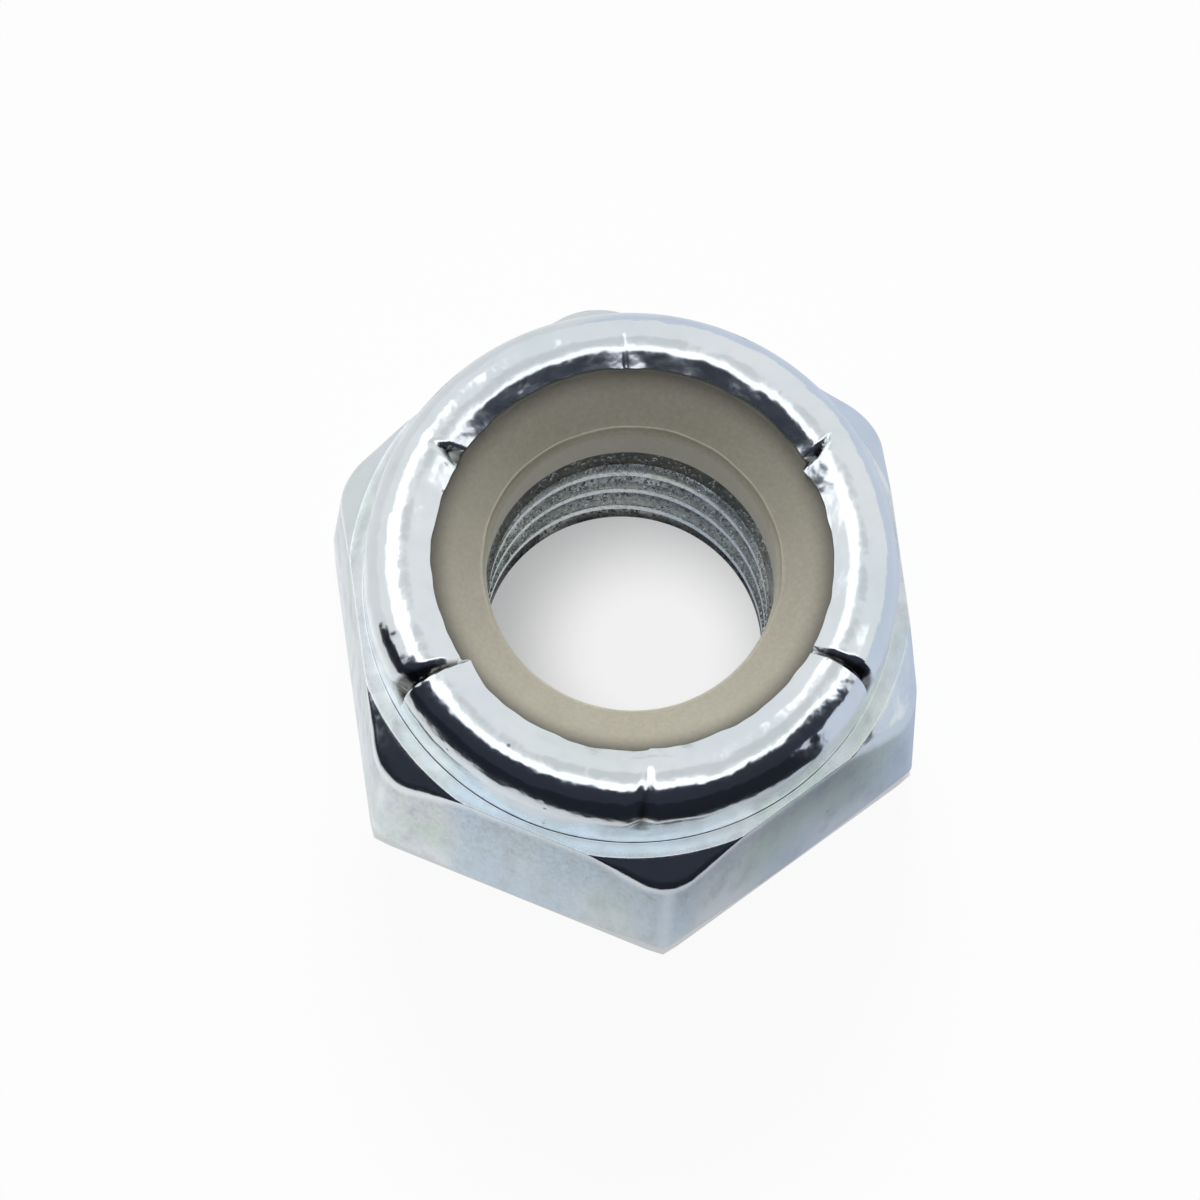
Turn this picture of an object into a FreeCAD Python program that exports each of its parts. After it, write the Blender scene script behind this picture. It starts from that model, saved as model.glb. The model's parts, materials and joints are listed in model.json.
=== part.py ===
import FreeCAD, Part
import math
import os

# Nylon insert lock nut of the M8 size, in millimetres. The thread axis is +Z, the origin is the
# centre of the bearing face, and two corners of the hexagon lie on the Y axis.

# Hexagon and its two faces
sides = 6
across_flats = 13.0
corner_round = 0.25  # radius along the upright edges, which the forming die leaves soft
overall_height = 8.0
bearing_radius = 6.35  # flat face that meets the clamped part
bearing_chamfer_angle = 22.0  # degrees up from the bearing face
shoulder_radius = 6.73  # rim of the ledge between the hexagon and the collar
shoulder_height = 5.4
shoulder_angle = 48.0  # degrees down from that rim to the corners

# Collar that is rolled over the insert
collar_radius = 6.34
collar_base_round = 0.16  # hollow round between the ledge and the collar
flank_roll = 1.7  # radius where the collar wall begins to lean in
flank_turn = 25.0  # degrees that it leans there
outer_roll = 0.83  # radius from there up to the crest
inner_roll = 1.07  # radius from the crest down to the lip
inner_end = 52.0  # degrees short of upright, where the inner roll ends at the lip
lip_length = 0.12  # straight foot of the lip below the inner roll

# Folds that the rolling tool leaves across the collar, one near each corner
fold_count = 6
fold_lag = 5.0  # degrees clockwise from each corner, seen from above
fold_depth = 0.25
fold_width = 0.45
fold_lean = 0.05  # the fold is this much deeper at the collar wall than at the crest

# Threaded bore, at the crest of the thread
minor_radius = 3.3235
countersink_radius = 4.2
countersink_depth = 0.8
relief_radius = 3.8  # hollow at the inner end of the thread, under the insert
relief_depth = 0.4

# Nylon ring in its pocket
pocket_radius = 5.6
insert_seat = 5.2  # height of the pocket's floor
insert_gap = 0.01  # radial room between the ring and the pocket wall
insert_corner = 0.3  # round on the ring's upper outer edge, and inside the lip
insert_bore = 3.43
insert_dish = 0.85  # how far the ring's top falls from the lip to its bore
insert_edge_round = 0.2  # round where the top turns into the bore
insert_break = 0.12  # small bevel at the lower end of the ring's bore

# Only for the making: how far a cutting solid reaches past the nut, and points that are one
cut_margin = 1.0
same_point = 1e-6

across_corners = across_flats / math.cos(math.pi / sides)
flank_lean = math.radians(flank_turn)
crest_radius = collar_radius - flank_roll * (1 - math.cos(flank_lean)) - outer_roll * math.cos(flank_lean)
flank_start = overall_height - outer_roll * (1 - math.sin(flank_lean)) - flank_roll * math.sin(flank_lean)
lip_radius = crest_radius - inner_roll * math.cos(math.radians(inner_end))
lip_foot = overall_height - inner_roll * (1 - math.sin(math.radians(inner_end)))
insert_top = lip_foot - lip_length


def point(radius, height):
    return FreeCAD.Vector(radius, 0, height)


def line(start, end):
    return Part.LineSegment(start, end).toShape()


def arc(centre, radius, from_angle, to_angle):
    """Arc in the XZ plane, with its angles in degrees from +X towards +Z."""
    marks = []
    for share in (0.0, 0.5, 1.0):
        angle = math.radians(from_angle + share * (to_angle - from_angle))
        marks.append(centre + FreeCAD.Vector(radius * math.cos(angle), 0, radius * math.sin(angle)))
    return Part.Arc(*marks).toShape()


def ends(edge):
    return edge.valueAt(edge.FirstParameter), edge.valueAt(edge.LastParameter)


def ring_from(pieces):
    """Joins points and arcs into one closed section and turns it once round the Z axis."""
    edges = []
    first, last = None, None
    for piece in pieces:
        start, end = (piece, piece) if isinstance(piece, FreeCAD.Vector) else ends(piece)
        if last is None:
            first = start
        elif last.distanceToPoint(start) > same_point:
            edges.append(line(last, start))
        if not isinstance(piece, FreeCAD.Vector):
            edges.append(piece)
        last = end
    edges.append(line(last, first))
    section = Part.Face(Part.Wire(edges))
    return section.revolve(FreeCAD.Vector(0, 0, 0), FreeCAD.Vector(0, 0, 1), 360)


def turned_body():
    """The nut before its flats are struck: a ring with the collar, pocket and bore."""
    reach = across_corners / 2 + cut_margin
    chamfer_rise = (reach - bearing_radius) * math.tan(math.radians(bearing_chamfer_angle))
    shoulder_fall = (reach - shoulder_radius) * math.tan(math.radians(shoulder_angle))
    base_side = collar_radius + collar_base_round
    pocket_corner = point(pocket_radius - insert_corner, insert_top - insert_corner)
    return ring_from(
        [
            point(countersink_radius, 0),
            point(bearing_radius, 0),
            point(reach, chamfer_rise),
            point(reach, shoulder_height - shoulder_fall),
            point(shoulder_radius, shoulder_height),
            arc(point(base_side, shoulder_height + collar_base_round), collar_base_round, 270, 180),
            arc(point(collar_radius - flank_roll, flank_start), flank_roll, 0, flank_turn),
            arc(point(crest_radius, overall_height - outer_roll), outer_roll, flank_turn, 90),
            arc(point(crest_radius, overall_height - inner_roll), inner_roll, 90, 180 - inner_end),
            point(lip_radius, insert_top),
            arc(pocket_corner, insert_corner, 90, 0),
            point(pocket_radius, insert_seat),
            point(relief_radius, insert_seat),
            point(minor_radius, insert_seat - relief_depth),
            point(minor_radius, countersink_depth),
        ]
    )


def hexagon_prism():
    """Six flats with soft upright edges, as tall as the nut, with corners on the Y axis."""
    corners = []
    for number in range(sides + 1):
        angle = math.pi / 2 + 2 * math.pi * number / sides
        corner = FreeCAD.Vector(math.cos(angle), math.sin(angle), 0)
        corners.append(corner * (across_corners / 2))
    prism = Part.Face(Part.makePolygon(corners)).extrude(FreeCAD.Vector(0, 0, overall_height))
    upright = [edge for edge in prism.Edges if abs(edge.tangentAt(edge.FirstParameter).z) > 0.5]
    return prism.makeFillet(corner_round, upright)


def fold_cutter(angle):
    """A wheel with a V rim that presses one fold across the rolled collar."""
    axle = FreeCAD.Vector(crest_radius - fold_lean, 0, overall_height - outer_roll)
    floor = outer_roll - fold_depth
    half_rise = fold_width / 2 / fold_depth
    rim = floor + cut_margin
    half_rim = cut_margin * half_rise
    corners = [
        axle + FreeCAD.Vector(floor, 0, 0),
        axle + FreeCAD.Vector(rim, half_rim, 0),
        axle + FreeCAD.Vector(rim, -half_rim, 0),
        axle + FreeCAD.Vector(floor, 0, 0),
    ]
    tooth = Part.Face(Part.makePolygon(corners))
    wheel = tooth.revolve(axle, FreeCAD.Vector(0, -1, 0), 180)
    wheel.rotate(FreeCAD.Vector(0, 0, 0), FreeCAD.Vector(0, 0, 1), angle)
    return wheel


def fold_angles():
    step = 360.0 / fold_count
    return [90.0 + number * step - fold_lag for number in range(fold_count)]


def nut_body():
    """Zinc-plated steel: hexagon, threaded bore and the collar rolled over the insert."""
    body = turned_body().common(hexagon_prism())
    return body.cut([fold_cutter(angle) for angle in fold_angles()])


def nylon_insert():
    """Nylon locking ring, held between the pocket's floor and the lip."""
    outside = pocket_radius - insert_gap
    corner = point(outside - insert_corner, insert_top - insert_corner)
    edge = point(insert_bore + insert_edge_round, insert_top - insert_dish - insert_edge_round)
    return ring_from(
        [
            point(insert_bore + insert_break, insert_seat),
            point(outside, insert_seat),
            arc(corner, insert_corner, 0, 90),
            point(lip_radius, insert_top),
            arc(edge, insert_edge_round, 90, 180),
            point(insert_bore, insert_seat + insert_break),
        ]
    )


os.makedirs("parts", exist_ok=True)
for name, shape in (("nut_body", nut_body()), ("nylon_insert", nylon_insert())):
    solid = shape.Solids[0] if len(shape.Solids) == 1 else shape
    solid.exportStep("parts/" + name + ".step")
    print(name, "solids", len(shape.Solids), "valid", shape.isValid(), "volume", round(shape.Volume, 2))
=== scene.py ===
import bpy
import bmesh
import json
import math
import random
import numpy as np
from mathutils import Matrix, Vector


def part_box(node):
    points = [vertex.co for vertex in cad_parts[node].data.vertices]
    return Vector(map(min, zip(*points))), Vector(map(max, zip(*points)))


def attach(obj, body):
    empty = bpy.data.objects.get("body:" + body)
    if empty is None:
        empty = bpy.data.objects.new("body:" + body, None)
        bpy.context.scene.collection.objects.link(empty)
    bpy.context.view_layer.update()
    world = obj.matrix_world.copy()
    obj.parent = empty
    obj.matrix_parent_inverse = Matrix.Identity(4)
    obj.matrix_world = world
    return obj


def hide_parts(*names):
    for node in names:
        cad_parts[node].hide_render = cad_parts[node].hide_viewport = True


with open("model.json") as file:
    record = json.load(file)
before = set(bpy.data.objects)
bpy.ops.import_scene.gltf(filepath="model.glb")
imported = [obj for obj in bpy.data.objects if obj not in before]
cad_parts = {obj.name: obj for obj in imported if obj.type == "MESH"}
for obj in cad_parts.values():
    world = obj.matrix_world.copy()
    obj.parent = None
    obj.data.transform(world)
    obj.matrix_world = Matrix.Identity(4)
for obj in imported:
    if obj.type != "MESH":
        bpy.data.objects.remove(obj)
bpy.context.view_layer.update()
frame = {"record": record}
mounts = {mount["name"]: mount for mount in frame["record"]["mounts"]}
nutLow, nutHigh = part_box("nut_body")
ringLow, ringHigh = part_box("nylon_insert")
mm = 0.001    # in metres
print("frame loaded")


def linearColour(text, alpha=1.0):
    channels = [int(text[i:i + 2], 16) / 255 for i in (1, 3, 5)]
    return [c / 12.92 if c <= 0.04045 else ((c + 0.055) / 1.055) ** 2.4 for c in channels] + [alpha]


def addNode(tree, kind, inputs=(), **settings):
    node = tree.nodes.new(kind)
    for name, value in settings.items():
        setattr(node, name, value)
    for key, value in dict(inputs).items():
        if isinstance(value, bpy.types.NodeSocket):
            tree.links.new(value, node.inputs[key])
        else:
            node.inputs[key].default_value = value
    return node


def maths(tree, operation, first, second=0.0):
    return addNode(tree, "ShaderNodeMath", {0: first, 1: second}, operation=operation).outputs[0]


def mapped(tree, value, low, high, first=0.0, last=1.0, way="LINEAR"):
    inputs = {0: value, 1: low, 2: high, 3: first, 4: last}
    return addNode(tree, "ShaderNodeMapRange", inputs, interpolation_type=way).outputs[0]


def mixed(tree, share, first, second):
    return addNode(tree, "ShaderNodeMix", {0: share, 2: first, 3: second}).outputs[0]


def mixedColour(tree, share, first, second):
    inputs = {0: share, 6: first, 7: second}
    return addNode(tree, "ShaderNodeMix", inputs, data_type="RGBA").outputs[2]


def pointValue(tree, name):
    return addNode(tree, "ShaderNodeAttribute", attribute_name=name).outputs["Fac"]


def newMaterial(name):
    material = bpy.data.materials.new(name)
    material.use_nodes = True
    material.node_tree.nodes.clear()
    return material, material.node_tree


def newObject(name, mesh):
    obj = bpy.data.objects.new(name, mesh)
    bpy.context.scene.collection.objects.link(obj)
    return obj


# one value per point, for the materials and the nodes to read
def keepOnPoints(mesh, name, values, kind="FLOAT"):
    field = "vector" if kind == "FLOAT_VECTOR" else "value"
    data = mesh.attributes.new(name, kind, "POINT").data
    data.foreach_set(field, np.asarray(values, np.float32).ravel())


# a row runs round the axis at the given angles, and holds a radius and a height for each of them, in mm
def rowAt(angles, radius, height):
    pair = [np.broadcast_to(radius, angles.shape), np.broadcast_to(height, angles.shape)]
    return np.stack(pair, axis=1).astype(float)


def between(first, last, steps):
    return [first + (last - first) * share for share in np.linspace(0, 1, steps + 2)[1:-1]]


# rows for a soft turn at one corner of a section, which takes less than half of the way to its neighbours
def softCorner(before, corner, after, reach, count):
    back, ahead = before - corner, after - corner
    backLength = np.linalg.norm(back, axis=1, keepdims=True)
    aheadLength = np.linalg.norm(ahead, axis=1, keepdims=True)
    reach = np.minimum(reach, 0.45 * np.minimum(backLength, aheadLength))
    back, ahead = back / backLength * reach, ahead / aheadLength * reach
    return [corner + (1 - share) ** 2 * back + share ** 2 * ahead for share in np.linspace(0, 1, count)]


# the last row is joined to the first. The last angle repeats the first, and closeMesh joins the points there.
def turnedMesh(name, rows, angles):
    radius, height = rows[..., 0], rows[..., 1]
    points = np.stack([radius * np.cos(angles), radius * np.sin(angles), height], axis=2) * mm
    index = np.arange(radius.size).reshape(radius.shape)
    faces = []
    for low, high in zip(index, np.roll(index, -1, axis=0)):
        faces += np.stack([low[:-1], low[1:], high[1:], high[:-1]], axis=1).tolist()
    mesh = bpy.data.meshes.new(name)
    mesh.from_pydata(points.reshape(-1, 3), [], faces)
    return mesh


# camera: a long lens high in front of the nut, a little turned about its own axis
camera = {
    "distance": 520.0,        # mm
    "elevation": 71.8,        # degrees
    "turn": -13.49,           # degrees round the nut, from straight in front of a corner
    "roll": 6.24,             # degrees about its own axis
    "width": 1200,            # pixels
    "pixelsPerMm": 41.754,
    "originPixel": (621.6, 658.9),   # where the middle of the bearing face shows
    "sensor": 36,             # mm
}


def addCamera():
    turn, elevation, roll = (math.radians(camera[k]) for k in ("turn", "elevation", "roll"))
    level = math.cos(elevation)
    back = Vector((math.sin(turn) * level, -math.cos(turn) * level, math.sin(elevation)))
    right = Vector((math.cos(turn), math.sin(turn), 0))
    up = back.cross(right)
    right, up = right * math.cos(roll) + up * math.sin(roll), up * math.cos(roll) - right * math.sin(roll)
    aside, below = ((pixel - camera["width"] / 2) / camera["pixelsPerMm"] for pixel in camera["originPixel"])
    place = (back * camera["distance"] - right * aside + up * below) * mm
    data = bpy.data.cameras.new("longLens")
    data.sensor_width = camera["sensor"]
    data.lens = camera["pixelsPerMm"] * camera["distance"] / camera["width"] * camera["sensor"]
    data.clip_start = 0.01
    obj = newObject("longLens", data)
    obj.matrix_world = Matrix.Translation(place) @ Matrix((right, up, back)).transposed().to_4x4()
    bpy.context.scene.camera = obj


addCamera()
print("camera placed")

# light: a white tent, brightest over the front and the left, with a dark side where the camera stands
studio = {
    "keyLight": 1.45,         # the brighter part of the tent, a ring over the front and the left
    "keyFoot": (30.0, 38.0),  # degrees up where it begins
    "keyTop": (65.5, 70.0),   # degrees up where it ends, round the tent's duller crown
    "keySoft": 0.2,           # how softly it ends at the back
    "keyBack": 1.5,           # how much further back it goes at the left
    "tentLight": 0.91,        # the rest of the tent
    "darkLight": 0.05,        # the open side, where the camera and its user stand
    "darkTop": (49.5, 54.0),  # degrees up where the tent begins over it
    "darkSpan": (-166.0, -11.0),   # degrees of the compass, from the right
    "darkSoft": 0.04,         # how softly that span ends
    "darkTint": "#D2DCFF",
    "crownAt": (0.1, 0.1, 0.99),   # the middle of the tent's crown: right, back, up
    "crownLight": 0.74,       # how bright it is there
    "crownWide": (80.0, 71.0),  # degrees up where that begins and ends
    "softShare": 0.45,        # of the tent's light that reaches what isn't shiny
    "backLamp": 2.15,         # a soft lamp behind the nut, which casts the lip's shadow on the nylon
    "backLampHeight": 38.0,   # degrees up
    "backLampTurn": 8.0,      # degrees to the left
    "backLampWidth": 36.0,    # degrees across
    "tableTint": "#272A33",   # the dark table beyond the paper
    "tableSpan": (-172.0, -27.0),   # degrees of the compass
    "tableInner": (15.5, 8.6),      # mm from the nut's axis, at the two ends of that span
    "tableOuter": 700.0,
    "tableRise": 0.05,        # mm above the paper
    "paper": "#F6F7F8",
    "paperReach": 600.0,      # mm from the axis
    "paperColumns": 120,
    "boreRings": (0.3, 14),   # mm from the axis to the first ring of the bore's floor, and how many there are
    "floorLift": 0.93,        # share of plain white in the paper, as the camera sees it
    "underLift": 0.35,        # the same under the nut
    "boreLift": (0.85, 0.3),  # the same in the bore, at its middle and at its wall, where it fades to a painted shade
    "boreMiddle": (0.7, 0.2),   # mm from the axis to the right and back, where the bore's floor is brightest
    "boreShade": (1.2, 4.2),  # mm from there, where the painted shade begins and is full
    "paperShine": (1.15, 0.64),   # brightness of the painted light that reflections show of the paper, at the nut's left and right
    "shineSpan": (-8.0, 3.0),     # mm to the right of the axis, where those two lie
    "paperFar": 0.84,         # the same far from the nut
    "farSpan": (7.0, 12.0),   # mm from the axis, where that begins and is full
    "boreShine": 0.85,        # share of that brightness in the bore and under the nut, a painted shade in reflections
    "paperTint": "#E6EEFF",   # the colour of that painted light, at the nut's right
    "tintSpan": (0.0, 6.0),   # mm to the right of the axis, where that begins and is full
    "paperMirror": 0.8,       # share of all this in what a reflection shows, the rest is lamplight
    "paperGlow": 0.6,         # share of plain white in the light that the paper throws up
}


def addWorld():
    world = bpy.data.worlds.new("lightTent")
    world.use_nodes = True
    bpy.context.scene.world = world
    tree = world.node_tree
    tree.nodes.clear()
    place = addNode(tree, "ShaderNodeTexCoord").outputs["Generated"]
    turned = {0: place, "Angle": -math.radians(camera["turn"])}
    turned = addNode(tree, "ShaderNodeVectorRotate", turned, rotation_type="Z_AXIS").outputs[0]
    right, back, up = addNode(tree, "ShaderNodeSeparateXYZ", {0: turned}).outputs

    def ramp(value, low, high, first=0.0, last=1.0):
        return mapped(tree, value, low, high, first, last, "SMOOTHSTEP")

    def rises(name):
        return [math.sin(math.radians(angle)) for angle in studio[name]]

    def along(vector, direction):
        pair = {0: vector, 1: direction}
        return addNode(tree, "ShaderNodeVectorMath", pair, operation="DOT_PRODUCT").outputs["Value"]

    # the open side: a span of the compass, up to a height
    middle = math.radians(sum(studio["darkSpan"]) / 2)
    end = math.cos(math.radians(np.ptp(studio["darkSpan"])) / 2)
    level = addNode(tree, "ShaderNodeCombineXYZ", {0: right, 1: back, 2: 0.0}).outputs[0]
    level = addNode(tree, "ShaderNodeVectorMath", {0: level}, operation="NORMALIZE").outputs[0]
    facing = along(level, (math.cos(middle), math.sin(middle), 0))
    openSide = ramp(facing, end - studio["darkSoft"], end + studio["darkSoft"])
    dark = maths(tree, "MULTIPLY", openSide, ramp(up, *rises("darkTop"), 1.0, 0.0))

    # the bright ring: not at the back, except at the left, and round the crown
    leftward = maths(tree, "MAXIMUM", maths(tree, "MULTIPLY", right, -studio["keyBack"]), 0.0)
    key = ramp(maths(tree, "SUBTRACT", back, leftward), 0.0, studio["keySoft"], 1.0, 0.0)
    key = maths(tree, "MULTIPLY", key, ramp(up, *rises("keyFoot")))
    crown = along(turned, studio["crownAt"])
    key = maths(tree, "MULTIPLY", key, ramp(crown, *rises("keyTop"), 1.0, 0.0))
    dull = ramp(crown, *rises("crownWide"), studio["crownLight"], studio["tentLight"])
    tent = mixed(tree, dark, mixed(tree, key, dull, studio["keyLight"]), studio["darkLight"])
    path = addNode(tree, "ShaderNodeLightPath").outputs
    given = maths(tree, "MULTIPLY", tent, mixed(tree, path["Is Diffuse Ray"], 1.0, studio["softShare"]))
    shown = mixed(tree, path["Is Camera Ray"], given, 1.0)
    cool = mixedColour(tree, dark, (1, 1, 1, 1), linearColour(studio["darkTint"]))
    background = addNode(tree, "ShaderNodeBackground", {"Color": cool, "Strength": shown})
    addNode(tree, "ShaderNodeOutputWorld", {0: background.outputs[0]})


addWorld()
print("world lit")

# zinc plate on steel: satin where it was only forged, bright where the rolling tool burnished it
zinc = {
    "colour": "#E2E8EC",
    # patches: colour, size in mm, noise detail, shift, and the noise where they begin and are full
    "tints": [
        ("#D2E0D9", 2.2, 2.0, 0.0, (0.47, 0.66)),     # the passivation's faint green
        ("#CBDBE8", 3.74, 1.0, 3.1, (0.45, 0.64)),    # and its blue
        ("#C3CCD2", 0.55, 4.0, 7.7, (0.42, 0.8)),     # dull metal
    ],
    "drawnShare": 0.4,        # size of the patches across, as a share of that up the flats
    "rolledSpan": (0.3, 0.9),   # burnish at which they begin to fade and have faded
    "rolledTint": 0.22,       # share of them that is left there
    "roughness": (0.38, 0.52),
    "burnished": 0.14,        # the roughness where it is rolled
    "grainSize": 0.1,         # mm, coarser than the real crystals, so that it shows
    "waveSize": 1.3,          # mm, the blobby unevenness of the rolled metal
    "waveDepth": 0.13,        # mm
    "rippleSize": 0.42,       # mm
    "rippleDepth": 0.03,      # mm
    "grainDepth": 0.012,      # mm
    "grainStrength": (0.4, 0.08),   # where it is satin and where it is rolled
    "speckSize": 0.7,         # mm between specks
    "speckEdge": (0.04, 0.09),   # share of that, where a speck's middle ends and its edge fades out
    "speckDark": 0.8,
    "speckShare": 0.07,       # how many of those places have one
    "speckTint": "#5C6468",
    # the colour of the painted shade in the thread and in the folds' creases
    "shadeTint": "#4B4A45",
    "burrSize": 0.07,         # mm
    "burrSpan": (0.52, 0.75),   # the noise where a burr begins and is full
    "burrDepth": 0.03,        # mm
}


def zincPlate():
    material, tree = newMaterial("brightZincPlate")
    place = addNode(tree, "ShaderNodeTexCoord").outputs["Object"]
    drawn = {0: place, 1: (1, 1, zinc["drawnShare"])}
    drawn = addNode(tree, "ShaderNodeVectorMath", drawn, operation="MULTIPLY").outputs[0]
    rolled = pointValue(tree, "burnish")
    satinShare = mapped(tree, rolled, *zinc["rolledSpan"], 1.0, zinc["rolledTint"])

    def noise(size, detail, shift=0.0, where=drawn):
        inputs = {"Vector": where, "W": shift, "Scale": 1 / (size * mm), "Detail": detail}
        inputs["Roughness"] = 0.55
        return addNode(tree, "ShaderNodeTexNoise", inputs, noise_dimensions="4D").outputs["Fac"]

    def bump(height, strength, depth, normal=None):
        inputs = {"Height": height, "Strength": strength, "Distance": zinc[depth] * mm}
        if normal:
            inputs["Normal"] = normal
        return addNode(tree, "ShaderNodeBump", inputs).outputs[0]

    # the patches, and a few specks
    colour = linearColour(zinc["colour"])
    for tint, size, detail, shift, span in zinc["tints"]:
        share = mapped(tree, noise(size, detail, shift), *span, way="SMOOTHSTEP")
        share = maths(tree, "MULTIPLY", share, satinShare)
        colour = mixedColour(tree, share, colour, linearColour(tint))
    specks = addNode(tree, "ShaderNodeTexVoronoi", {"Vector": place, "Scale": 1 / (zinc["speckSize"] * mm)})
    speck = mapped(tree, specks.outputs["Distance"], *zinc["speckEdge"], zinc["speckDark"], 0.0)
    lot = addNode(tree, "ShaderNodeSeparateColor", {0: specks.outputs["Color"]}).outputs[0]
    speck = maths(tree, "MULTIPLY", speck, maths(tree, "GREATER_THAN", lot, 1 - zinc["speckShare"]))
    colour = mixedColour(tree, speck, colour, linearColour(zinc["speckTint"]))
    grain = noise(zinc["grainSize"], 3.0)
    satin = mapped(tree, grain, 0.3, 0.7, *zinc["roughness"])
    rough = mixed(tree, rolled, satin, zinc["burnished"])

    # what the light shows of the surface: broad waves and ripples where it was rolled, a fine grain elsewhere
    normal = bump(noise(zinc["waveSize"], 0.6, 0.0, place), rolled, "waveDepth")
    normal = bump(noise(zinc["rippleSize"], 1.5, 1.4, place), rolled, "rippleDepth", normal)
    strength = mapped(tree, rolled, 0.0, 1.0, *zinc["grainStrength"])
    normal = bump(grain, strength, "grainDepth", normal)

    # down in the thread and in the folds' creases: a painted shade, dark where shade falls, and small burrs
    # that glint
    colour = mixedColour(tree, pointValue(tree, "paintedShade"), colour, linearColour(zinc["shadeTint"]))
    burrs = mapped(tree, noise(zinc["burrSize"], 1.0, 5.0, place), *zinc["burrSpan"], way="SMOOTHSTEP")
    normal = bump(burrs, pointValue(tree, "boreWall"), "burrDepth", normal)
    looks = {"Base Color": colour, "Metallic": 1.0, "Roughness": rough, "Normal": normal}
    shader = addNode(tree, "ShaderNodeBsdfPrincipled", looks)
    addNode(tree, "ShaderNodeOutputMaterial", {0: shader.outputs[0]})
    return material


# natural polyamide 6, moulded: waxy off-white with a soft sheen, and light goes a little way in
nylon = {
    "colour": "#B6B2A4",
    "deepColour": "#ACA898",
    "roughness": (0.37, 0.5),
    "grain": (0.94, 1.06),    # brightness of the finest grain
    "lightShare": 0.25,       # of the light, how much goes in and comes out again
    "lightDepth": 0.4,        # mm
    "lightSpread": (1.0, 0.9, 0.7),   # for red, green and blue
    "ior": 1.53,
    "cloudSize": 1.6,         # mm
    "pitSize": 0.12,          # mm
    "pitDepth": 0.01,         # mm
    "pitStrength": 0.4,
    "boreGlow": 1.4,          # how much lighter the painted light makes it at the bore, where light comes through
    "lipShade": 0.32,         # how much light the painted shade leaves in the corner under the lip
}


def naturalNylon():
    material, tree = newMaterial("naturalNylon")
    place = addNode(tree, "ShaderNodeTexCoord").outputs["Object"]

    def noise(size, detail, unevenness):
        inputs = {"Vector": place, "Scale": 1 / (size * mm), "Detail": detail, "Roughness": unevenness}
        return addNode(tree, "ShaderNodeTexNoise", inputs).outputs["Fac"]

    cloud, pits = noise(nylon["cloudSize"], 3.0, 0.55), noise(nylon["pitSize"], 2.0, 0.5)
    colour = mixedColour(tree, cloud, linearColour(nylon["colour"]), linearColour(nylon["deepColour"]))
    rough = mapped(tree, pits, 0.3, 0.7, *nylon["roughness"])
    bump = {"Height": pits, "Strength": nylon["pitStrength"]}
    bump["Distance"] = nylon["pitDepth"] * mm
    bumped = addNode(tree, "ShaderNodeBump", bump).outputs[0]

    # painted light at the bore and painted shade under the lip, with a fine grain
    kept = mapped(tree, pits, 0.3, 0.7, *nylon["grain"])
    shaded = mapped(tree, pointValue(tree, "underLip"), 0.0, 1.0, 1.0, nylon["lipShade"])
    kept = maths(tree, "MULTIPLY", shaded, kept)
    through = mapped(tree, pointValue(tree, "paintedGlow"), 0.0, 1.0, 1.0, nylon["boreGlow"])
    kept = maths(tree, "MULTIPLY", kept, through)
    colour = addNode(tree, "ShaderNodeVectorMath", {0: colour, "Scale": kept}, operation="SCALE").outputs[0]
    looks = {"Base Color": colour, "Roughness": rough, "IOR": nylon["ior"], "Normal": bumped}
    looks |= {"Subsurface Weight": nylon["lightShare"], "Subsurface Radius": nylon["lightSpread"]}
    looks["Subsurface Scale"] = nylon["lightDepth"] * mm
    shader = addNode(tree, "ShaderNodeBsdfPrincipled", looks)
    addNode(tree, "ShaderNodeOutputMaterial", {0: shader.outputs[0]})
    return material


zincMaterial = zincPlate()
nylonMaterial = naturalNylon()
print("materials made")

# the nut's body, as rows from the countersink over the collar and down the bore, in mm and degrees
nut = {
    "sides": 6,
    "acrossFlats": (nutHigh.x - nutLow.x) / mm,
    "height": nutHigh.z / mm,
    "cornerRound": (0.25, 1.4),    # along the upright edges, at the bottom and at the top
    "bearingRadius": 6.35,
    "bearingChamfer": 22.0,
    "bearingSoft": 0.12,      # how far the soft edge between that face and its chamfer reaches
    "footSoft": 0.08,         # the same at the chamfer's upper edge and at the countersink
    "shoulderRadius": 6.69,
    "shoulderHeight": 5.4,
    "shoulderAngle": 48.0,
    "edgeSoftness": 0.2,      # where the flats end at the shoulder
    "rimInset": 0.03,         # how far the rim stands in where a flat would reach it
    "rimSoft": 0.02,
    "collarRadius": 6.34,
    "collarWaist": 0.03,      # how far the wall stands back under the roll
    "ledgeRound": 0.03,
    "wallStart": 0.35,        # above the ledge
    "flankRoll": 1.7,
    "flankTurn": 25.0,
    "outerRoll": 0.83,
    "innerRoll": 0.7,
    "innerEnd": 58.0,         # from there a cone runs down to the lip
    "lipRadius": 4.77,
    "lipRag": 0.1,            # how ragged the lip is
    "ragWaves": (5, 9, 14, 23, 37, 52),   # how many waves go round the lip
    "ragPower": 0.35,         # how much lower the finer ones are
    "rollRag": 0.3,           # share of the raggedness where the cone begins
    "lipSoft": 0.04,
    "lipLean": 0.01,          # mm that the lip's foot stands further in
    "pocketRadius": 5.6,
    "pocketCorner": 0.3,
    "boreRadius": mounts["thread"]["dims"]["r_mm"],
    "reliefRadius": 3.8,
    "reliefDepth": 0.4,
    "countersinkRadius": 4.2,
    "countersinkDepth": 0.8,
    "fineSpan": (-13.0, 5.2),    # round each corner, where the columns are close, for the fold
    "fineStep": 0.42,
    "coarseColumns": 36,      # from there to the next corner's
    "cornerShine": 0.45,      # how burnished the upright edges are
    "cornerShineWidth": 1.6,
    "sharpAngle": 32.0,
}

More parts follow.
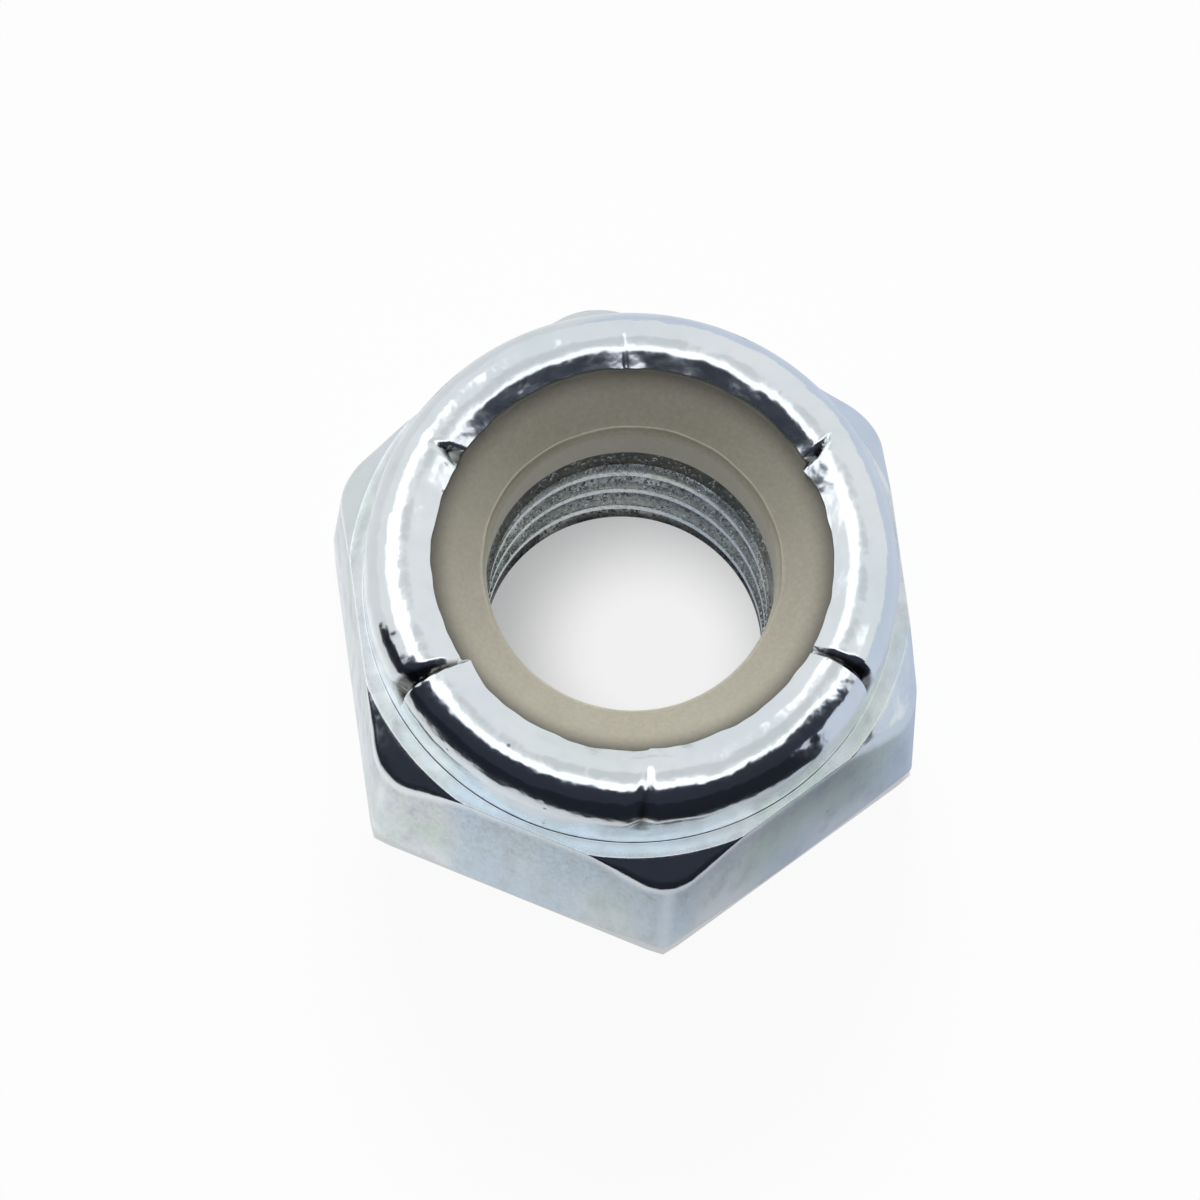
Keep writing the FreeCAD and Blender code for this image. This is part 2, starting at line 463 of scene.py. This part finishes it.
# how far each kind of surface is burnished by the rolling tool
shine = {"under": 0, "flat": 0, "edge": 0.8, "shoulder": 0.9, "rim": 0.5, "ledge": 0.65, "wall": 0.72}
shine |= {"flank": 0.9, "roll": 1, "inner": 0.9, "foot": 0.5, "hidden": 0, "bore": 0.55}

# the six folds, anticlockwise from the far corner's, each with its size at the lip and at the wall
folds = {
    "turn": [(-5.6, -4.0), (-8.3, -6.3), (-4.8, -7.2), (-3.3, -5.6), (-5.2, -5.2), (-7.7, -2.0)],
    "press": [(0.02, 0.0), (0.21, -0.2), (0.08, 0.25), (0.0, 0.09), (0.09, 0.22), (0.2, -0.1)],
    "wide": [(0.07, 0.07), (0.28, -0.1), (0.12, 0.44), (0.05, 0.36), (0.12, 0.34), (0.22, 0.02)],
    "narrow": [(0.07, 0.07), (0.24, -0.1), (0.09, 0.14), (0.05, 0.30), (0.08, 0.10), (0.09, 0.05)],
    "wideSide": [-1, -1, -1, 1, 1, 1],              # which flank is the wide one, anticlockwise is 1
    "tab": [0.03, 0.04, 0.17, 0.03, 0.05, 0.2],     # how far the lip beside it stands in
    "tabSide": [1, 1, 1, 1, 1, -1],
    "tabStart": 0.5,          # degrees over which the tab rises
    "tabLength": 6.5,         # degrees over which it falls away
    "narrowest": 0.05,        # mm, of a flank
    "wallShare": (1.25, -0.05),   # from the wall's foot to the lip's, held between 1 and 0
    "nearby": 1.6,            # widths away, where a fold ends
    "farAway": 9.0,           # what the points have that no fold reaches
    "creaseShare": 0.85,      # of the depth, in a straight crease as wide as the fold
    "hollowShare": 0.15,      # the rest, in a hollow that reaches further
    "hollowReach": 1.5,
    "shadeDepth": (0.04, 0.1),  # mm deep, where the painted shade of the crease begins and is full
    "shadeStrength": 0.95,
}

# the thread: a metric coarse one, in mm
thread = {
    "pitch": 1.25,
    "majorRadius": 4.0,
    "crestShare": 0.25,       # of the pitch, the flat at the crest
    "rootShare": 0.125,
    "fade": 0.35,             # mm over which the groove runs out at each end
    "foot": nut["countersinkDepth"],
    "top": ringLow.z / mm - nut["reliefDepth"],
    "turnsBelow": 2.6,        # rows begin so far below the foot, and are cut off at the foot and the top
    "turns": 9,
    # where the rows lie in half a turn: close where the crest and the root meet the flanks
    "rows": [0.06, 0.11, 0.14, 0.2, 0.28, 0.36, 0.42, 0.46],
    "shadeEdge": (0.18, 0.34),  # share of the groove's depth where the painted shade begins and is full
    "shadeStrength": 0.85,
    "endShade": 0.7,            # the same at the ends of the groove
}


# degrees, for the corners counted anticlockwise from the far one
def cornerAngle(number):
    return 90 + number * 360 / nut["sides"]


# the first and the last column are the same, beside the near corner
def columnAngles():
    first, last = nut["fineSpan"]
    angles = []
    for corner in range(3, 3 + nut["sides"]):
        fine = np.arange(first, last, nut["fineStep"])
        coarse = np.linspace(last, 360 / nut["sides"] + first, nut["coarseColumns"], endpoint=False)
        angles += [*(cornerAngle(corner) + fine), *(cornerAngle(corner) + coarse)]
    angles = np.radians(angles)
    return np.append(angles, angles[0] + 2 * math.pi)


def hexagonRadius(angles, rounding):
    apothem, half = nut["acrossFlats"] / 2, math.pi / nut["sides"]
    fromCorner = np.abs((angles - math.pi / 2 + half) % (2 * half) - half)
    centre = (apothem - rounding) / math.cos(half)
    straight = apothem / np.cos(half - fromCorner)
    inside = np.maximum(rounding ** 2 - (centre * np.sin(fromCorner)) ** 2, 0)
    rounded = centre * np.cos(fromCorner) + np.sqrt(inside)
    tangent = math.atan2(rounding * math.sin(half), centre + rounding * math.cos(half))
    return np.where(fromCorner < tangent, rounded, straight)


# from the countersink over the bearing face, up the flats and in to the foot of the collar
def hexagonRows(angles):
    ledge = nut["shoulderHeight"]
    lowRound, highRound = nut["cornerRound"]
    lowRadius, highRadius = hexagonRadius(angles, lowRound), hexagonRadius(angles, highRound)
    chamfer, slope = (math.tan(math.radians(nut[name])) for name in ("bearingChamfer", "shoulderAngle"))
    boreFoot = rowAt(angles, nut["boreRadius"], nut["countersinkDepth"])
    countersink = rowAt(angles, nut["countersinkRadius"], 0)
    bearing = rowAt(angles, nut["bearingRadius"], 0)
    hexLow = rowAt(angles, lowRadius, (lowRadius - nut["bearingRadius"]) * chamfer)
    under = softCorner(boreFoot, countersink, bearing, nut["footSoft"], 3)
    under += between(countersink, bearing, 3)
    under += softCorner(countersink, bearing, hexLow, nut["bearingSoft"], 3)
    under += between(bearing, hexLow, 2)

    # the flats end on the shoulder near the corners, and at the ledge itself at their middles
    shoulder = np.maximum(highRadius - nut["shoulderRadius"], 0)
    hexTop = rowAt(angles, highRadius, ledge - shoulder * slope)
    rim = np.minimum(highRadius, nut["shoulderRadius"]) - np.maximum(0, nut["rimInset"] - shoulder)
    rimEdge = rowAt(angles, rim, ledge)
    ledgeEnd = rowAt(angles, nut["collarRadius"] - nut["collarWaist"], ledge)
    hair = 1e-4               # mm, so that there is a direction where two rows meet
    edge = softCorner(hexTop - [0, 1], hexTop, rimEdge + [-hair, hair], nut["edgeSoftness"], 5)
    flats = softCorner(bearing, hexLow, hexLow + [0, 1], nut["footSoft"], 4)
    low, high = flats[-1][:, 1], edge[0][:, 1]
    for share in np.linspace(0, 1, 12)[1:-1]:
        radius = hexagonRadius(angles, lowRound + (highRound - lowRound) * share)
        flats.append(rowAt(angles, radius, low + (high - low) * share))
    rimRows = softCorner(edge[-1] - [0, 10 * hair], rimEdge, ledgeEnd, nut["rimSoft"], 3)
    ledgeRows = between(rimEdge, ledgeEnd, 4)[1:-1]
    ledgeRows += softCorner(rimEdge, ledgeEnd, ledgeEnd + [0, 1], nut["ledgeRound"], 6)
    found = [("under", under), ("flat", flats), ("edge", edge), ("shoulder", between(edge[-1], rimEdge, 4))]
    return found + [("rim", rimRows), ("ledge", ledgeRows)]


# the crest's radius, and the rows from the ledge up the collar's wall and over the roll to that crest
def collarRows(angles):
    flank, height, roll = math.radians(nut["flankTurn"]), nut["height"], nut["outerRoll"]
    flankFoot = height - roll * (1 - math.sin(flank)) - nut["flankRoll"] * math.sin(flank)
    flankTop = nut["collarRadius"] - nut["flankRoll"] * (1 - math.cos(flank))
    crest = flankTop - roll * math.cos(flank)
    wallFoot = nut["shoulderHeight"] + nut["wallStart"]
    walls, flanks, rolls = [], [], []
    for share in np.linspace(0, 1, 9)[:-1]:
        waist = nut["collarWaist"] * (1 - share * share * (3 - 2 * share))
        walls.append(rowAt(angles, nut["collarRadius"] - waist, wallFoot + (flankFoot - wallFoot) * share))
    for turn in np.linspace(0, flank, 10)[:-1]:
        radius = nut["collarRadius"] - nut["flankRoll"] * (1 - math.cos(turn))
        flanks.append(rowAt(angles, radius, flankFoot + nut["flankRoll"] * math.sin(turn)))
    for turn in np.linspace(flank, math.pi / 2, 22):
        rolls.append(rowAt(angles, crest + roll * math.cos(turn), height - roll * (1 - math.sin(turn))))
    return crest, [("wall", walls), ("flank", flanks), ("roll", rolls)]


# how far the lip stands in: a little ragged all round, and with a tab beside each fold
def lipInward(angles):
    random.seed(4)
    rag = 0
    for waves in nut["ragWaves"]:
        shift, size = random.uniform(0, 6.3), random.uniform(0.4, 1)
        rag = rag + np.sin(angles * waves + shift) * size / waves ** nut["ragPower"]
    inward = nut["lipRag"] * rag * 2 / len(nut["ragWaves"])
    for fold in range(nut["sides"]):
        away = np.degrees(angles) - (cornerAngle(fold) + folds["turn"][fold][0])
        away = (away * folds["tabSide"][fold]) % 360
        tab = folds["tab"][fold] * np.clip(away / folds["tabStart"], 0, 1)
        inward = inward + tab * np.exp(-away / folds["tabLength"])
    return inward


# from the crest in and down to the lip, and back under it into the pocket and the relief
def lipRows(angles, crest):
    inward, roll = lipInward(angles), nut["innerRoll"]
    end = math.radians(90 - nut["innerEnd"])
    inner = []
    for turn in np.linspace(0, end, 12)[1:]:
        radius = crest - roll * math.sin(turn) - nut["rollRag"] * (turn / end) ** 2 * inward
        inner.append(rowAt(angles, radius, nut["height"] - roll * (1 - math.cos(turn))))
    coneFall = (inner[-1][:, 0].mean() - nut["lipRadius"]) * math.tan(end)
    lip = rowAt(angles, nut["lipRadius"] - inward, inner[-1][:, 1] - coneFall)
    inner += between(inner[-1], lip, 6) + [lip]
    roof, seat, corner = ringHigh.z / mm, ringLow.z / mm, nut["pocketCorner"]
    foot = rowAt(angles, lip[:, 0] - nut["lipLean"], roof)
    underLip = rowAt(angles, nut["pocketRadius"] - corner, roof)
    feet = [(lip + foot) / 2] + softCorner(lip, foot, underLip, nut["lipSoft"], 3)
    hidden = [underLip, rowAt(angles, nut["pocketRadius"], roof - corner)]
    hidden.append(rowAt(angles, nut["pocketRadius"], seat))
    hidden += [rowAt(angles, nut["reliefRadius"], height) for height in (seat, thread["top"])]
    return [("inner", inner), ("foot", feet), ("hidden", hidden)]


# the threaded bore: its rows climb with the thread, and stop at its ends
def boreRows(angles):
    pitch, foot, top = thread["pitch"], thread["foot"], thread["top"]
    phases = [0, *thread["rows"], 0.5, *(1 - phase for phase in reversed(thread["rows"]))]
    first = math.floor(foot / pitch - thread["turnsBelow"])
    levels = [(first + turn + phase) * pitch for turn in range(thread["turns"]) for phase in phases]
    heights = [top]
    for level in reversed(levels):
        height = np.clip(level + pitch * angles / (2 * math.pi), foot, top)
        if height.max() > foot and height.min() < top:
            heights.append(height)
    return [("bore", [rowAt(angles, nut["boreRadius"], height) for height in heights + [foot]])]


# for each point of the collar, how deep the nearest fold is and how many of its widths away
def foldFields(angles, radius, kinds):
    collar = np.isin(kinds, ["wall", "flank", "roll", "inner", "foot"])
    along, share = np.zeros(len(kinds)), collar.astype(float)
    along[collar] = np.clip(np.linspace(*folds["wallShare"], collar.sum()), 0, 1)
    share[kinds == "wall"] = np.linspace(0.0, 1.0, (kinds == "wall").sum()) ** 2
    depth, away = np.zeros_like(radius), np.full_like(radius, folds["farAway"])
    for fold in range(nut["sides"]):
        ends = [folds[name][fold] for name in ("turn", "press", "wide", "narrow")]
        turn, deep, wide, narrow = (lip + (wall - lip) * along for lip, wall in ends)
        line = np.radians(cornerAngle(fold) + turn)[:, None]
        gap = (angles[None, :] - line + math.pi) % (2 * math.pi) - math.pi
        wide, narrow = (np.maximum(flank, folds["narrowest"])[:, None] for flank in (wide, narrow))
        reach = np.where(gap * folds["wideSide"][fold] > 0, wide, narrow)
        near = np.abs(gap) * radius < reach * folds["nearby"]
        away = np.where(near, gap * radius / reach, away)
        depth = np.where(near, (np.maximum(deep, 0) * share)[:, None], depth)
    return depth, away


def nutMesh():
    angles = columnAngles()
    crest, collar = collarRows(angles)
    found = hexagonRows(angles) + collar + lipRows(angles, crest) + boreRows(angles)
    kinds = np.array([kind for kind, rows in found for row in rows])
    rows = np.stack([row for kind, rows in found for row in rows])     # row, column, (radius, height)
    mesh, radius = turnedMesh("nutBody", rows, angles), rows[..., 0]

    # the way out of the surface, for the folds to be pressed in against
    onward = np.roll(rows, -1, axis=0) - np.roll(rows, 1, axis=0)
    outward = np.stack([onward[..., 1], -onward[..., 0]], axis=2)
    outward /= np.maximum(np.linalg.norm(outward, axis=2, keepdims=True), 1e-9)
    level, up = outward[..., 0], outward[..., 1]
    normal = np.stack([level * np.cos(angles), level * np.sin(angles), up], axis=2)
    keepOnPoints(mesh, "pressNormal", normal, "FLOAT_VECTOR")
    depth, away = foldFields(angles, radius, kinds)
    keepOnPoints(mesh, "foldDepth", depth)
    keepOnPoints(mesh, "foldGap", away)

    # each kind of surface is burnished in its own way, and on the flats the upright edges are too
    half = 180 / nut["sides"]
    fromCorner = np.degrees(angles) % (2 * half) - half
    corners = nut["cornerShine"] * np.exp(-(fromCorner / nut["cornerShineWidth"]) ** 2)
    burnish = np.array([shine[kind] for kind in kinds])[:, None] + (kinds == "flat")[:, None] * corners
    keepOnPoints(mesh, "burnish", burnish)
    keepOnPoints(mesh, "boreWall", (kinds == "bore")[:, None] + np.zeros_like(radius))
    return mesh


# the thread and the press of the folds: both follow a rule, so nodes cut them
def pressTree(material):
    tree = bpy.data.node_groups.new("threadAndFolds", "GeometryNodeTree")
    face = tree.interface
    face.new_socket("Geometry", in_out="INPUT", socket_type="NodeSocketGeometry")
    sizes = {
        "Pitch": thread["pitch"] * mm,
        "Groove Depth": (thread["majorRadius"] - nut["boreRadius"]) * mm,
        "Crest Share": thread["crestShare"],
        "Root Share": thread["rootShare"],
        "Thread Foot": thread["foot"] * mm,
        "Thread Top": thread["top"] * mm,
        "Run Out": thread["fade"] * mm,
        "Fold Press": mm,
    }
    sockets = {}
    for name in sizes:
        sockets[name] = face.new_socket(name, in_out="INPUT", socket_type="NodeSocketFloat")
    face.new_socket("Geometry", in_out="OUTPUT", socket_type="NodeSocketGeometry")
    given = addNode(tree, "NodeGroupInput").outputs
    where = addNode(tree, "GeometryNodeInputPosition").outputs[0]
    across, back, up = addNode(tree, "ShaderNodeSeparateXYZ", {0: where}).outputs

    def calculate(operation, first, second=0.0):
        return maths(tree, operation, first, second)

    def kept(name, kind="FLOAT"):
        return addNode(tree, "GeometryNodeInputNamedAttribute", {"Name": name}, data_type=kind).outputs[0]

    def scaled(vector, scale):
        inputs = {0: vector, "Scale": scale}
        return addNode(tree, "ShaderNodeVectorMath", inputs, operation="SCALE").outputs[0]

    # the groove, by how much of a turn lies between each point and the middle of the root
    turns = calculate("DIVIDE", calculate("ARCTAN2", back, across), 2 * math.pi)
    phase = calculate("SUBTRACT", calculate("DIVIDE", up, given["Pitch"]), turns)
    phase = calculate("ABSOLUTE", calculate("SUBTRACT", calculate("FRACT", phase), 0.5))
    rootHalf = calculate("MULTIPLY", given["Root Share"], 0.5)
    flankEnd = calculate("SUBTRACT", 0.5, calculate("MULTIPLY", given["Crest Share"], 0.5))
    groove = mapped(tree, phase, rootHalf, flankEnd, 1.0, 0.0)
    footEnd = calculate("ADD", given["Thread Foot"], given["Run Out"])
    topEnd = calculate("SUBTRACT", given["Thread Top"], given["Run Out"])
    foot = mapped(tree, up, given["Thread Foot"], footEnd, way="SMOOTHSTEP")
    top = mapped(tree, up, given["Thread Top"], topEnd, way="SMOOTHSTEP")
    inBore = kept("boreWall")
    depth = calculate("MULTIPLY", groove, given["Groove Depth"])
    for share in (foot, top, inBore):
        depth = calculate("MULTIPLY", depth, share)
    level = addNode(tree, "ShaderNodeCombineXYZ", {0: across, 1: back, 2: 0.0}).outputs[0]
    outward = addNode(tree, "ShaderNodeVectorMath", {0: level}, operation="NORMALIZE").outputs[0]

    # the folds: a crease, and a shallow hollow round it
    gap = calculate("ABSOLUTE", kept("foldGap"))
    crease = mapped(tree, gap, 0.0, 1.0, folds["creaseShare"], 0.0)
    hollow = mapped(tree, gap, 0.0, folds["hollowReach"], folds["hollowShare"], 0.0, "SMOOTHERSTEP")
    pressed = calculate("MULTIPLY", calculate("ADD", crease, hollow), kept("foldDepth"))
    fold = scaled(kept("pressNormal", "FLOAT_VECTOR"), calculate("MULTIPLY", pressed, given["Fold Press"]))
    offset = {0: scaled(outward, depth), 1: fold}
    offset = addNode(tree, "ShaderNodeVectorMath", offset, operation="SUBTRACT").outputs[0]

    # painted shade: dark in the groove, at the thread's ends and down in the creases, where shade falls
    paintedShade = mapped(tree, groove, *thread["shadeEdge"], 0.0, thread["shadeStrength"])
    ends = mapped(tree, calculate("MINIMUM", foot, top), 0.0, 0.5, thread["endShade"], 0.0)
    paintedShade = calculate("MULTIPLY", calculate("MAXIMUM", paintedShade, ends), inBore)
    creaseShade = mapped(tree, pressed, *folds["shadeDepth"], 0.0, folds["shadeStrength"])
    paintedShade = {"Geometry": given["Geometry"], "Name": "paintedShade", "Value": calculate("MAXIMUM", paintedShade, creaseShade)}
    shape = addNode(tree, "GeometryNodeStoreNamedAttribute", paintedShade, data_type="FLOAT", domain="POINT")
    shape = addNode(tree, "GeometryNodeSetPosition", {"Geometry": shape.outputs[0], "Offset": offset})
    shape = addNode(tree, "GeometryNodeRealizeInstances", {0: shape.outputs[0]})
    shape = addNode(tree, "GeometryNodeSetMaterial", {0: shape.outputs[0], "Material": material})
    addNode(tree, "NodeGroupOutput", {0: shape.outputs[0]})
    return tree, {sockets[name].identifier: value for name, value in sizes.items()}


def applyTree(obj, tree, values):
    modifier = obj.modifiers.new("shape", "NODES")
    modifier.node_group = tree
    for key, value in values.items():
        modifier[key] = value
    shaped = obj.evaluated_get(bpy.context.evaluated_depsgraph_get())
    mesh = bpy.data.meshes.new_from_object(shaped)
    obj.modifiers.remove(modifier)
    old, obj.data = obj.data, mesh
    bpy.data.meshes.remove(old)
    mesh.name = obj.name


# joins what lies on the same point, and keeps edges sharp from an angle in degrees
def closeMesh(mesh, sharp):
    samePoint, noLength = 2e-7, 2e-8     # metres
    solid = bmesh.new()
    solid.from_mesh(mesh)
    bmesh.ops.remove_doubles(solid, verts=solid.verts, dist=samePoint)
    bmesh.ops.dissolve_degenerate(solid, edges=solid.edges, dist=noLength)
    bmesh.ops.recalc_face_normals(solid, faces=solid.faces)
    loose = sum(1 for edge in solid.edges if len(edge.link_faces) != 2)
    solid.to_mesh(mesh)
    solid.free()
    mesh.shade_smooth()
    mesh.set_sharp_from_angle(angle=math.radians(sharp))
    print("closed", mesh.name, "open edges", loose, "faces", len(mesh.polygons))


def addNut():
    obj = newObject("nutBody", nutMesh())
    tree, values = pressTree(zincMaterial)
    applyTree(obj, tree, values)
    closeMesh(obj.data, nut["sharpAngle"])
    for name in ("foldDepth", "foldGap", "pressNormal"):
        obj.data.attributes.remove(obj.data.attributes[name])
    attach(obj, "root")
    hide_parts("nut_body")


addNut()
print("nut body made")

# the nylon ring, in mm
ring = {
    "outerRadius": ringHigh.x / mm,
    "seat": ringLow.z / mm,
    "top": ringHigh.z / mm,
    "bore": mounts["insert_bore"]["dims"]["r_mm"],
    "outerRound": 0.3,
    "lipRadius": 4.73,        # where it comes out from under the lip
    "lipRun": 0.16,           # mm that it stays level before that
    "shadeWidth": 0.5,        # of the painted shade under the lip
    "shadePower": 1.5,
    "edgeRadius": 3.54,       # where the top turns down to the bore
    "edgeDrop": 0.79,
    "edgeSoft": 0.05,
    "wander": [(3, 0.7, 0.018), (5, 2.0, 0.012), (17, 0.0, 0.006)],   # its waves, their shift and size
    "boreTop": 0.96,          # below the ring's top
    "boreTopSoft": 0.28,
    "bead": 0.018,            # how high a fine moulding line stands along that edge
    "beadShare": (0.55, 0.45),   # the share of that all round, and what the far side has more
    "beadFoot": (0.05, 0.035),   # out and up from the edge, where it begins
    "beadTop": [(0.03, 0.03), (0.0, 0.012)],
    "thinStart": 0.02,        # outside the edge, where the painted light towards the bore begins
    "thinWidth": 0.1,
    "footBevel": 0.12,
    "footSoft": 0.1,
    "columns": 288,
    "sharpAngle": 50.0,
}


def ringMesh():
    angles = np.linspace(0, 2 * math.pi, ring["columns"] + 1)
    wander = sum(size * np.sin(waves * angles + shift) for waves, shift, size in ring["wander"])
    outer, seat, top, bore = ring["outerRadius"], ring["seat"], ring["top"], ring["bore"]
    outerFoot, outerTop = rowAt(angles, outer, seat), rowAt(angles, outer, top - ring["outerRound"])
    underLip = rowAt(angles, outer - ring["outerRound"], top)
    lip = rowAt(angles, ring["lipRadius"], top)
    beforeLip = lip + [ring["lipRun"], 0]
    edge = rowAt(angles, ring["edgeRadius"] + wander, top - ring["edgeDrop"])
    boreTop = rowAt(angles, bore, top - ring["boreTop"])
    boreFoot = rowAt(angles, bore, seat + ring["footBevel"])
    foot = rowAt(angles, bore + ring["footBevel"], seat)
    rows = softCorner(foot, outerFoot, outerTop, ring["footSoft"], 3)
    rows += softCorner(outerFoot, rowAt(angles, outer, top), underLip, ring["outerRound"], 5)
    rows += [beforeLip] + softCorner(beforeLip, lip, edge, ring["edgeSoft"], 4) + between(lip, edge, 12)

    # a moulding line along the edge, then down the bore
    even, more = ring["beadShare"]
    bead = ring["bead"] * (even + more * np.sin(angles - math.radians(camera["turn"])))
    rows.append(edge + ring["beadFoot"])
    rows += [edge + rowAt(angles, out, up + bead) for out, up in ring["beadTop"]]
    rows += softCorner(lip, edge, boreTop, ring["edgeSoft"], 6)[3:]
    rows += softCorner(edge, boreTop, boreFoot, ring["boreTopSoft"], 7) + between(boreTop, boreFoot, 6)[1:]
    rows += softCorner(boreTop, boreFoot, foot, ring["edgeSoft"], 3)
    rows += softCorner(boreFoot, foot, outerFoot, ring["edgeSoft"], 3)
    rows = np.stack(rows)
    mesh, radius = turnedMesh("nylonRing", rows, angles), rows[..., 0]
    # painted shade under the lip, and painted light towards the bore
    shaded = (radius - ring["lipRadius"] + ring["shadeWidth"]) / ring["shadeWidth"]
    paintedGlow = (ring["edgeRadius"] + ring["thinStart"] - radius) / ring["thinWidth"]
    keepOnPoints(mesh, "underLip", np.clip(shaded, 0, 1) ** ring["shadePower"])
    keepOnPoints(mesh, "paintedGlow", np.clip(paintedGlow, 0, 1))
    mesh.materials.append(nylonMaterial)
    return mesh


def addRing():
    obj = newObject("nylonRing", ringMesh())
    closeMesh(obj.data, ring["sharpAngle"])
    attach(obj, "root")
    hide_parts("nylon_insert")


addRing()
print("nylon ring made")


# white paper: what the camera and what is shiny see of it has a light of its own
def whitePaper():
    material, tree = newMaterial("whitePaper")
    path = addNode(tree, "ShaderNodeLightPath").outputs
    place = addNode(tree, "ShaderNodeTexCoord").outputs["Object"]
    across = addNode(tree, "ShaderNodeSeparateXYZ", {0: place}).outputs[0]
    lit = addNode(tree, "ShaderNodeBsdfDiffuse", {"Color": linearColour(studio["paper"])}).outputs[0]
    white = addNode(tree, "ShaderNodeEmission", {"Color": (1, 1, 1, 1), "Strength": 1.0}).outputs[0]

    def span(name):
        return [end * mm for end in studio[name]]

    # in reflections a painted light: duller to the right, another brightness far from the nut, and a little
    # blue
    shine = mapped(tree, across, *span("shineSpan"), *studio["paperShine"])
    apart = addNode(tree, "ShaderNodeVectorMath", {0: place}, operation="LENGTH").outputs["Value"]
    shine = mixed(tree, mapped(tree, apart, *span("farSpan")), shine, studio["paperFar"])
    shine = maths(tree, "MULTIPLY", shine, pointValue(tree, "clear"))
    tint = mapped(tree, across, *span("tintSpan"))
    tint = mixedColour(tree, tint, (1, 1, 1, 1), linearColour(studio["paperTint"]))
    mirror = addNode(tree, "ShaderNodeEmission", {"Color": tint, "Strength": shine}).outputs[0]
    own = addNode(tree, "ShaderNodeMixShader", {0: path["Is Glossy Ray"], 1: white, 2: mirror}).outputs[0]

    # how much of that light there is, by what looks at it
    share = maths(tree, "MULTIPLY", path["Is Camera Ray"], pointValue(tree, "lift"))
    for ray, name in (("Is Glossy Ray", "paperMirror"), ("Is Diffuse Ray", "paperGlow")):
        share = maths(tree, "ADD", share, maths(tree, "MULTIPLY", path[ray], studio[name]))
    shown = addNode(tree, "ShaderNodeMixShader", {0: share, 1: lit, 2: own}).outputs[0]
    addNode(tree, "ShaderNodeOutputMaterial", {0: shown})
    return material


# the floor: the camera sees it nearly blown out, with the nut's shadow kept on it
def addFloor():
    columns, (first, count) = studio["paperColumns"], studio["boreRings"]
    angles = np.linspace(0, 2 * math.pi, columns, endpoint=False)
    footprint = hexagonRadius(angles, nut["cornerRound"][0])
    inBore = np.linspace(first, nut["countersinkRadius"], count)
    hair = 1e-4               # mm, so that the brightness steps at the footprint
    rings = [*inBore, nut["bearingRadius"], footprint, footprint + hair, studio["paperReach"]]
    radii = np.stack([np.broadcast_to(radius, columns) for radius in rings])
    x, y = radii * np.cos(angles), radii * np.sin(angles)

    # in the bore the plain white is strongest beside the middle and fades to a painted shade at the wall, and
    # under the nut there is less of it, so that the shadow there shows dark
    middle = Vector(studio["boreMiddle"]) @ Matrix.Rotation(math.radians(camera["turn"]), 2).transposed()
    near, far = studio["boreShade"]
    shade = np.clip((np.hypot(x - middle.x, y - middle.y) - near) / (far - near), 0, 1)
    bright, dim = studio["boreLift"]
    lift = bright + (dim - bright) * shade ** 2 * (3 - 2 * shade)
    # the painted light in reflections is dimmer in the bore and under the nut
    clear = np.full_like(lift, studio["boreShine"])
    lift[len(inBore):] = studio["underLift"]
    lift[-2:], clear[-2:] = studio["floorLift"], 1.0

    # a fan in the middle, then ring by ring, apart from the one that the bearing face rests on
    index = 1 + np.arange(radii.size).reshape(radii.shape)
    faces = [(0, 1 + i, 1 + (i + 1) % columns) for i in range(columns)]
    for number, (inner, outer) in enumerate(zip(index, index[1:]), 1):
        if number != len(inBore):
            sides = [inner, outer, np.roll(outer, -1), np.roll(inner, -1)]
            faces += np.stack(sides, axis=1).tolist()
    points = np.stack([x, y, 0 * x], axis=2).reshape(-1, 3) * mm
    mesh = bpy.data.meshes.new("paperFloor")
    mesh.from_pydata(np.vstack([[0, 0, 0], points]), [], faces)
    keepOnPoints(mesh, "lift", [bright, *lift.ravel()])
    keepOnPoints(mesh, "clear", [studio["boreShine"], *clear.ravel()])
    mesh.materials.append(whitePaper())
    floor = newObject("paperFloor", mesh)


# the table beyond the paper: black felt on the dark side, seen only by what is shiny
def addDarkTable():
    steps = 48
    angles = np.radians(np.linspace(*studio["tableSpan"], steps + 1) + camera["turn"])
    points = []
    for near, angle in zip(np.linspace(*studio["tableInner"], steps + 1), angles):
        for radius in (near, studio["tableOuter"]):
            points.append((radius * math.cos(angle), radius * math.sin(angle), studio["tableRise"]))
    faces = [(2 * i, 2 * i + 1, 2 * i + 3, 2 * i + 2) for i in range(steps)]
    mesh = bpy.data.meshes.new("darkTable")
    mesh.from_pydata(np.array(points) * mm, [], faces)
    card = newObject("darkTable", mesh)
    felt, tree = newMaterial("blackFelt")
    black = addNode(tree, "ShaderNodeBsdfDiffuse", {"Color": linearColour(studio["tableTint"])})
    addNode(tree, "ShaderNodeOutputMaterial", {0: black.outputs[0]})
    mesh.materials.append(felt)
    card.visible_camera = False
    card.visible_diffuse = False
    card.visible_shadow = False
    card.visible_transmission = False


def addBackLamp():
    data = bpy.data.lights.new("backLamp", "SUN")
    data.energy = studio["backLamp"]
    data.angle = math.radians(studio["backLampWidth"])
    lamp = newObject("backLamp", data)
    height = math.radians(studio["backLampHeight"])
    turn = math.radians(studio["backLampTurn"] + camera["turn"])
    level = math.cos(height)
    toLamp = Vector((-math.sin(turn) * level, math.cos(turn) * level, math.sin(height)))
    lamp.rotation_euler = toLamp.to_track_quat("Z", "Y").to_euler()
    lamp.visible_glossy = False


addFloor()
addDarkTable()
addBackLamp()
print("floor, table and lamp placed")

bpy.context.scene.view_settings.view_transform = "Standard"
